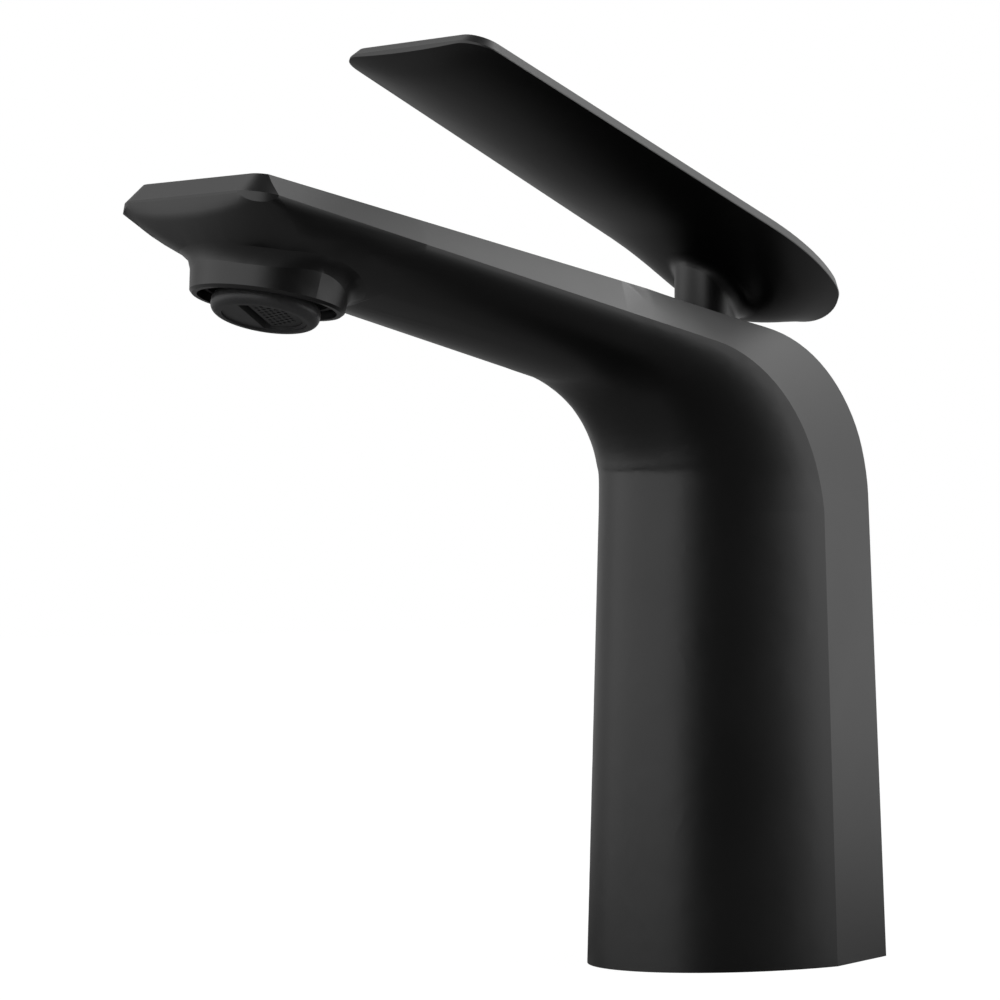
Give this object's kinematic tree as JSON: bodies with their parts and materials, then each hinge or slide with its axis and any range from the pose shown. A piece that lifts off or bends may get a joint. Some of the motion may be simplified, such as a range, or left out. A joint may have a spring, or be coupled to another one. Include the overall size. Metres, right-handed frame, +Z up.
{
  "type": "bathroom basin mixer",
  "caption": "Single-lever basin mixer with a raked spout, swivel aerator, ceramic-disc cartridge and a flat paddle lever on a round neck.",
  "frame": {"origin": "on the deck plane, on the axis of the cartridge", "axes": "+Z up, square to the deck; -Y toward the spout's tip; the casting and the lever are mirror images about X = 0"},
  "size_m": [0.0498, 0.1619, 0.1761],
  "materials": {
    "black_body": "matte black powder coat over brass",
    "black_handle": "matte black powder coat over zinc",
    "black_trim": "matte black",
    "rubber_black": "moulded",
    "cartridge_plastic": "moulded, off-white",
    "cartridge_plastic_dark": "moulded, grey",
    "limit_ring_plastic": "moulded, red",
    "ceramic": "polished alumina",
    "brass_nut": "machined",
    "steel": "machined",
    "outlet_plastic": "moulded, satin black",
    "nozzle_plastic": "moulded, satin black",
    "screen_plastic": "moulded, satin black"
  },
  "bodies": {
    "body": {"body_casting": "black_body", "base_gasket": "rubber_black", "cartridge_base": "cartridge_plastic", "inlet_seals": "rubber_black", "fixed_disc": "ceramic", "cartridge_housing": "cartridge_plastic", "cartridge_o_ring": "rubber_black", "retaining_nut": "brass_nut", "aerator_housing": "outlet_plastic", "ball_seal": "rubber_black", "aerator_washer": "rubber_black"},
    "nozzle": {"swivel_nozzle": "nozzle_plastic", "aerator_insert": "nozzle_plastic", "aerator_screen": "screen_plastic"},
    "carrier": {"lever_carrier": "cartridge_plastic_dark", "lever_pin": "steel", "limit_ring": "limit_ring_plastic"},
    "disc": {"disc_coupler": "cartridge_plastic", "moving_disc": "ceramic"},
    "lever": {"lever_spindle": "steel", "handle": "black_handle", "neck_dome": "black_trim", "handle_screw": "steel", "screw_plug": "black_trim"}
  },
  "joints": [
    {"name": "lever_turn", "type": "hinge", "parent": "body", "child": "carrier", "pos_m": [0, 0, 0.084], "axis": [0, 0, 1], "range_deg": [-45, 45]},
    {"name": "lever_lift", "type": "hinge", "parent": "carrier", "child": "lever", "pos_m": [0, 0, 0.109], "axis": [-1, 0, 0], "range_deg": [0, 18]},
    {"name": "disc_slide", "type": "slide", "parent": "carrier", "child": "disc", "axis": [0, -1, 0], "range_m": [0, 0.004]},
    {"name": "nozzle_tilt", "type": "hinge", "parent": "body", "child": "nozzle", "pos_m": [0, -0.10832, 0.13258], "axis": [1, 0, 0], "range_deg": [-3, 10]}
  ],
  "couplings": [
    {"joint": "disc_slide", "follows": "lever_lift", "m_per_rad": 0.0123}
  ]
}
